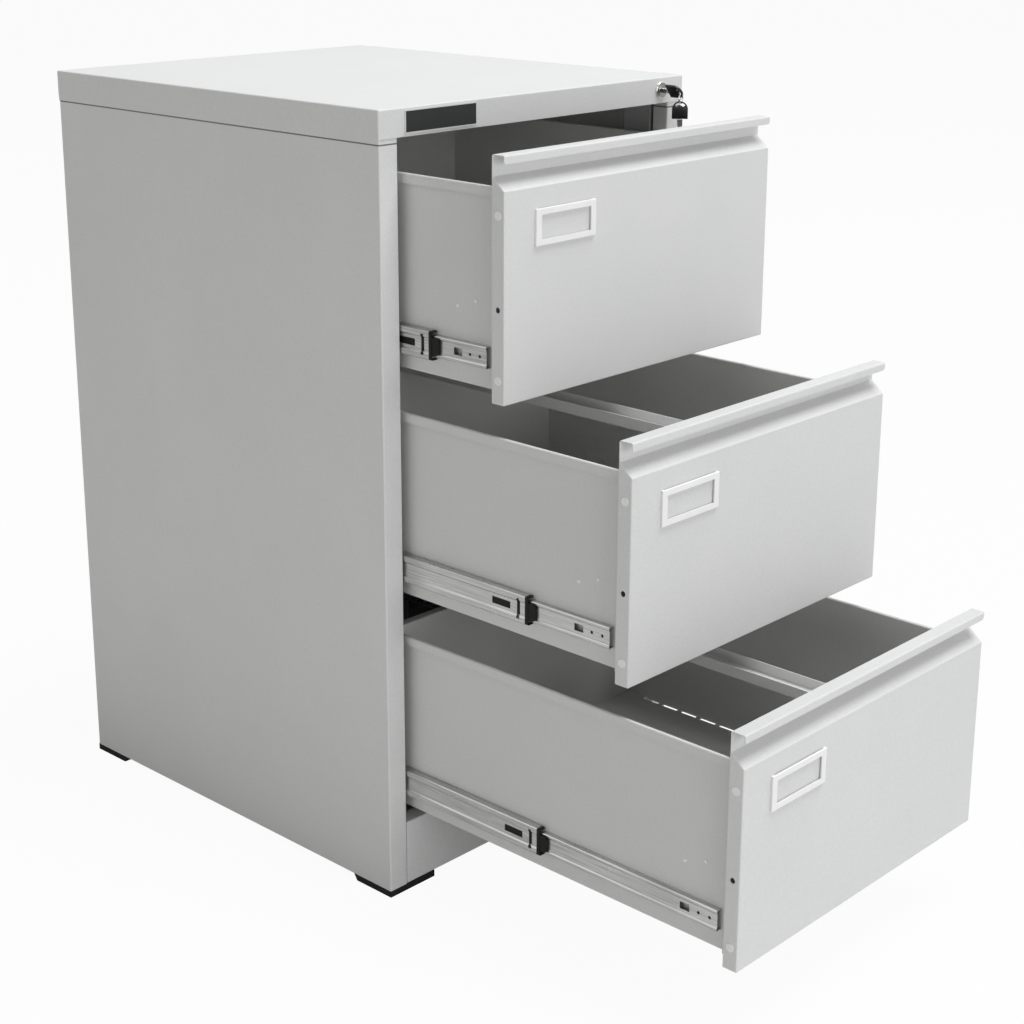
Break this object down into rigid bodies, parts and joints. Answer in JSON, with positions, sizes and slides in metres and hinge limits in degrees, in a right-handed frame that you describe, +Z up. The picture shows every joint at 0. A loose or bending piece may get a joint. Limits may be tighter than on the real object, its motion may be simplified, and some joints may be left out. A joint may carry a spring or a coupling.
{
  "type": "filing cabinet",
  "caption": "Upright steel office filing cabinet: inset drawers with folded finger pulls and label holders on full-extension ball slides, lift-off cap, plinth and a gang lock with key.",
  "frame": {"origin": "on the floor, in the middle of the case's footprint", "axes": "+X to the right seen from the front, +Y from the drawer fronts to the back, +Z up"},
  "size_m": [0.57, 1.192, 1.03],
  "materials": {
    "case_paint": "light grey powder coat, fine texture",
    "upright_paint": "grey powder coat",
    "front_paint": "light grey powder coat, fine texture",
    "tub_paint": "light grey powder coat, darker inside",
    "slide_zinc": "bright zinc plate over rolled steel",
    "rivet_steel": "zinc plate",
    "ball_steel": "polished balls in plain strip",
    "foot_plastic": "black moulded",
    "plate_enamel": "dark blank plate with a pale rim",
    "lock_chrome": "nickel plate",
    "lock_steel": "zinc plate",
    "guide_plastic": "natural moulded",
    "key_steel": "nickel plate",
    "key_plastic": "black moulded",
    "label_plastic": "white moulded",
    "cap_plastic": "white moulded",
    "stop_plastic": "black moulded"
  },
  "bodies": {
    "case": {"left_side_panel": "case_paint", "right_side_panel": "case_paint", "back_panel": "case_paint", "top_cap": "case_paint", "base_tray": "case_paint", "plinth_rail": "case_paint", "slide_uprights": "upright_paint", "case_rivets": "rivet_steel", "feet": "foot_plastic", "name_plate": "plate_enamel", "outer_slides_top": "slide_zinc", "outer_slides_middle": "slide_zinc", "outer_slides_bottom": "slide_zinc", "lock_housing": "lock_chrome", "lock_nut": "lock_steel", "lock_bar_guides": "guide_plastic"},
    "lock_plug": {"lock_plug": "lock_chrome", "lock_cam": "lock_steel", "key_blade": "key_steel", "key_head": "key_plastic"},
    "lock_bar": {"lock_bar": "lock_steel"},
    "drawer_top": {"front_panel_top": "front_paint", "front_backing_top": "tub_paint", "tub_top": "tub_paint", "tub_back_top": "tub_paint", "label_holder_top": "label_plastic", "inner_slides_top": "slide_zinc", "fasteners_top": "cap_plastic"},
    "slide_middle_top": {"mid_slides_top": "slide_zinc", "slide_stops_top": "stop_plastic"},
    "outer_cages_top": {"outer_ball_cages_top": "ball_steel"},
    "inner_cages_top": {"inner_ball_cages_top": "ball_steel"},
    "drawer_middle": {"front_panel_middle": "front_paint", "front_backing_middle": "tub_paint", "tub_middle": "tub_paint", "tub_back_middle": "tub_paint", "label_holder_middle": "label_plastic", "inner_slides_middle": "slide_zinc", "fasteners_middle": "cap_plastic", "hanging_rail_middle": "tub_paint"},
    "slide_middle_middle": {"mid_slides_middle": "slide_zinc", "slide_stops_middle": "stop_plastic"},
    "outer_cages_middle": {"outer_ball_cages_middle": "ball_steel"},
    "inner_cages_middle": {"inner_ball_cages_middle": "ball_steel"},
    "drawer_bottom": {"front_panel_bottom": "front_paint", "front_backing_bottom": "tub_paint", "tub_bottom": "tub_paint", "tub_back_bottom": "tub_paint", "label_holder_bottom": "label_plastic", "inner_slides_bottom": "slide_zinc", "fasteners_bottom": "cap_plastic", "hanging_rail_bottom": "tub_paint"},
    "slide_middle_bottom": {"mid_slides_bottom": "slide_zinc", "slide_stops_bottom": "stop_plastic"},
    "outer_cages_bottom": {"outer_ball_cages_bottom": "ball_steel"},
    "inner_cages_bottom": {"inner_ball_cages_bottom": "ball_steel"}
  },
  "joints": [
    {"name": "drawer_top_slide", "type": "slide", "parent": "case", "child": "drawer_top", "axis": [0, -1, 0], "range_m": [-0.172, 0.388]},
    {"name": "slide_middle_top_slide", "type": "slide", "parent": "case", "child": "slide_middle_top", "axis": [0, -1, 0], "range_m": [-0.0875, 0.19675]},
    {"name": "outer_cages_top_slide", "type": "slide", "parent": "case", "child": "outer_cages_top", "axis": [0, -1, 0], "range_m": [-0.044, 0.09863]},
    {"name": "inner_cages_top_slide", "type": "slide", "parent": "case", "child": "inner_cages_top", "axis": [0, -1, 0], "range_m": [-0.13, 0.29263]},
    {"name": "drawer_middle_slide", "type": "slide", "parent": "case", "child": "drawer_middle", "axis": [0, -1, 0], "range_m": [-0.368, 0.192]},
    {"name": "slide_middle_middle_slide", "type": "slide", "parent": "case", "child": "slide_middle_middle", "axis": [0, -1, 0], "range_m": [-0.2473, 0.12926]},
    {"name": "outer_cages_middle_slide", "type": "slide", "parent": "case", "child": "outer_cages_middle", "axis": [0, -1, 0], "range_m": [-0.1239, 0.06488]},
    {"name": "inner_cages_middle_slide", "type": "slide", "parent": "case", "child": "inner_cages_middle", "axis": [0, -1, 0], "range_m": [-0.3079, 0.16088]},
    {"name": "drawer_bottom_slide", "type": "slide", "parent": "case", "child": "drawer_bottom", "axis": [0, -1, 0], "range_m": [-0.535, 0.025]},
    {"name": "slide_middle_bottom_slide", "type": "slide", "parent": "case", "child": "slide_middle_bottom", "axis": [0, -1, 0], "range_m": [-0.2689, 0.01304]},
    {"name": "outer_cages_bottom_slide", "type": "slide", "parent": "case", "child": "outer_cages_bottom", "axis": [0, -1, 0], "range_m": [-0.1347, 0.00677]},
    {"name": "inner_cages_bottom_slide", "type": "slide", "parent": "case", "child": "inner_cages_bottom", "axis": [0, -1, 0], "range_m": [-0.4022, 0.01927]},
    {"name": "lock_turn", "type": "hinge", "parent": "case", "child": "lock_plug", "pos_m": [0.238, -0.327, 1.0125], "axis": [0, 1, 0], "range_deg": [-1.5, 91.5]},
    {"name": "lock_bar_slide", "type": "slide", "parent": "case", "child": "lock_bar", "axis": [0, 0, 1], "range_m": [-0.01697, 0]}
  ],
  "couplings": [
    {"joint": "slide_middle_top_slide", "follows": "drawer_top_slide", "ratio": 0.50581},
    {"joint": "outer_cages_top_slide", "follows": "drawer_top_slide", "ratio": 0.25291},
    {"joint": "inner_cages_top_slide", "follows": "drawer_top_slide", "ratio": 0.75291},
    {"joint": "slide_middle_middle_slide", "follows": "drawer_middle_slide", "ratio": 0.67065},
    {"joint": "outer_cages_middle_slide", "follows": "drawer_middle_slide", "ratio": 0.33533},
    {"joint": "inner_cages_middle_slide", "follows": "drawer_middle_slide", "ratio": 0.83533},
    {"joint": "slide_middle_bottom_slide", "follows": "drawer_bottom_slide", "ratio": 0.50168},
    {"joint": "outer_cages_bottom_slide", "follows": "drawer_bottom_slide", "ratio": 0.25084},
    {"joint": "inner_cages_bottom_slide", "follows": "drawer_bottom_slide", "ratio": 0.75084},
    {"joint": "lock_turn", "follows": "lock_bar_slide", "rad_per_m": -92.56}
  ]
}
